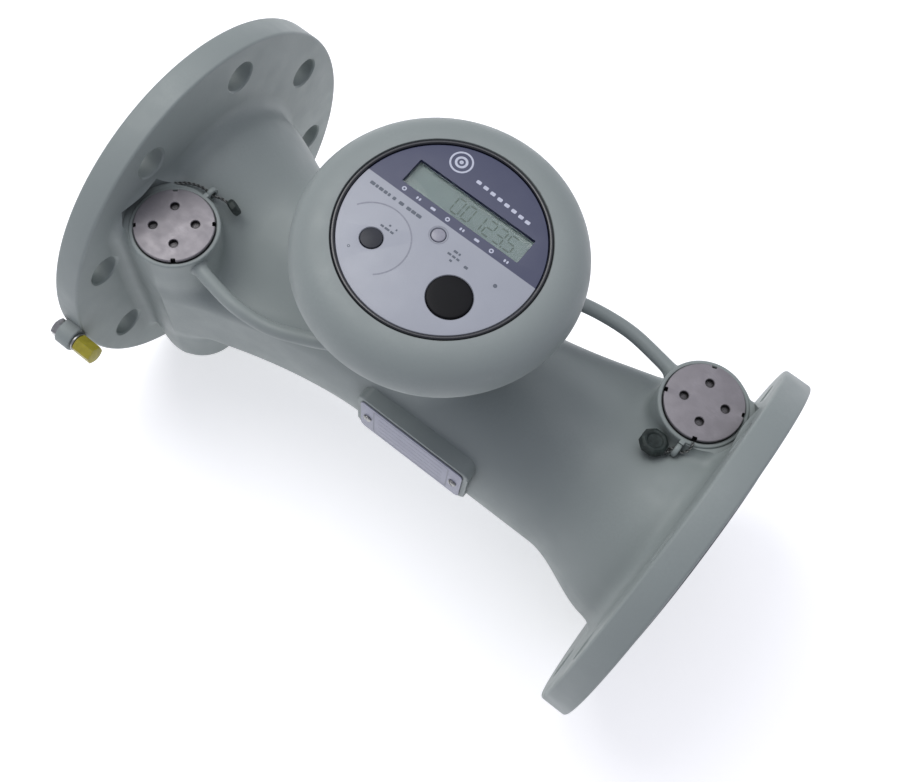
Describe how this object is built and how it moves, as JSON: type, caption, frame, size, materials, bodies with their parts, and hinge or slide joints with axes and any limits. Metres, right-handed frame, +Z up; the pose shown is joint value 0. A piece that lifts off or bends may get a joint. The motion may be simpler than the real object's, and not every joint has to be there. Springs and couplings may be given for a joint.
{
  "type": "inline ultrasonic flow meter with flanges",
  "caption": "Flanged inline meter: waisted pipe body with two transducer bosses, conduits and a round display head with a push button on top.",
  "frame": {"origin": "on the pipe axis, midway between the two flange faces", "axes": "+X along the pipe from inlet to outlet, +Z up through the head, +Y across the pipe towards the outlet boss"},
  "size_m": [0.36, 0.2328, 0.2565],
  "materials": {
    "body_paint": "satin grey-green paint over a casting",
    "cap_steel": "brushed, slightly worn",
    "hardware_steel": "zinc plated",
    "seal_wire": "dull twisted wire",
    "seal_body": "dark green-black, crimped",
    "transducer_metal": "machined",
    "holder_plastic": "moulded",
    "rubber": "moulded seal rubber",
    "lead_sleeve": "wire insulation",
    "plate_aluminium": "brushed plate",
    "earth_yellow": "yellow",
    "ring_black": "glossy black",
    "button_black": "glossy black",
    "dial_face": "printed dial, blue above and pale below",
    "display_glass": "clear",
    "display_body": "reflective display",
    "dark_window": "dark optical plastic",
    "lamp": "clear lens",
    "component_black": "moulded",
    "board_green": "solder mask",
    "battery_wrap": "shrink wrap"
  },
  "bodies": {
    "meter": {"battery": "battery_wrap", "battery_holder": "holder_plastic", "board_screw_1": "hardware_steel", "board_screw_2": "hardware_steel", "board_screw_3": "hardware_steel", "body_casting": "body_paint", "button_spring": "hardware_steel", "button_switch": "component_black", "circuit_board": "board_green", "dial_plate": "dial_face", "dial_ring": "ring_black", "display_module": "display_body", "display_window": "display_glass", "earth_bolt": "hardware_steel", "earth_nut": "earth_yellow", "earth_washer": "hardware_steel", "head_base": "body_paint", "head_base_gasket": "rubber", "head_base_screw_1": "hardware_steel", "head_base_screw_2": "hardware_steel", "head_base_screw_3": "hardware_steel", "head_bezel": "body_paint", "head_bezel_gasket": "rubber", "inlet_cap_gasket": "rubber", "inlet_conduit": "body_paint", "inlet_seal": "seal_body", "inlet_seal_wire": "seal_wire", "inlet_transducer": "transducer_metal", "inlet_transducer_holder": "holder_plastic", "inlet_transducer_lead": "lead_sleeve", "inlet_transducer_o_ring": "rubber", "lamp_window": "lamp", "name_plate": "plate_aluminium", "name_plate_screw_1": "hardware_steel", "name_plate_screw_2": "hardware_steel", "optical_sensor": "component_black", "optical_window": "dark_window", "outlet_cap_gasket": "rubber", "outlet_conduit": "body_paint", "outlet_seal": "seal_body", "outlet_seal_wire": "seal_wire", "outlet_transducer": "transducer_metal", "outlet_transducer_holder": "holder_plastic", "outlet_transducer_lead": "lead_sleeve", "outlet_transducer_o_ring": "rubber"},
    "button": {"display_button": "button_black"},
    "inlet_cap_body": {"inlet_cap": "cap_steel"},
    "outlet_cap_body": {"outlet_cap": "cap_steel"}
  },
  "joints": [
    {"name": "display_button_press", "type": "slide", "parent": "meter", "child": "button", "axis": [0, 0, -1], "range_m": [0, 0.0015], "stiffness_N_per_m": 600, "springref_m": -0.001, "deforming": ["button_spring"]},
    {"name": "inlet_cap_removal", "type": "slide", "parent": "meter", "child": "inlet_cap_body", "axis": [0, 0, 1], "range_m": [0, 0.012]},
    {"name": "outlet_cap_removal", "type": "slide", "parent": "meter", "child": "outlet_cap_body", "axis": [0, 0, 1], "range_m": [0, 0.012]}
  ]
}
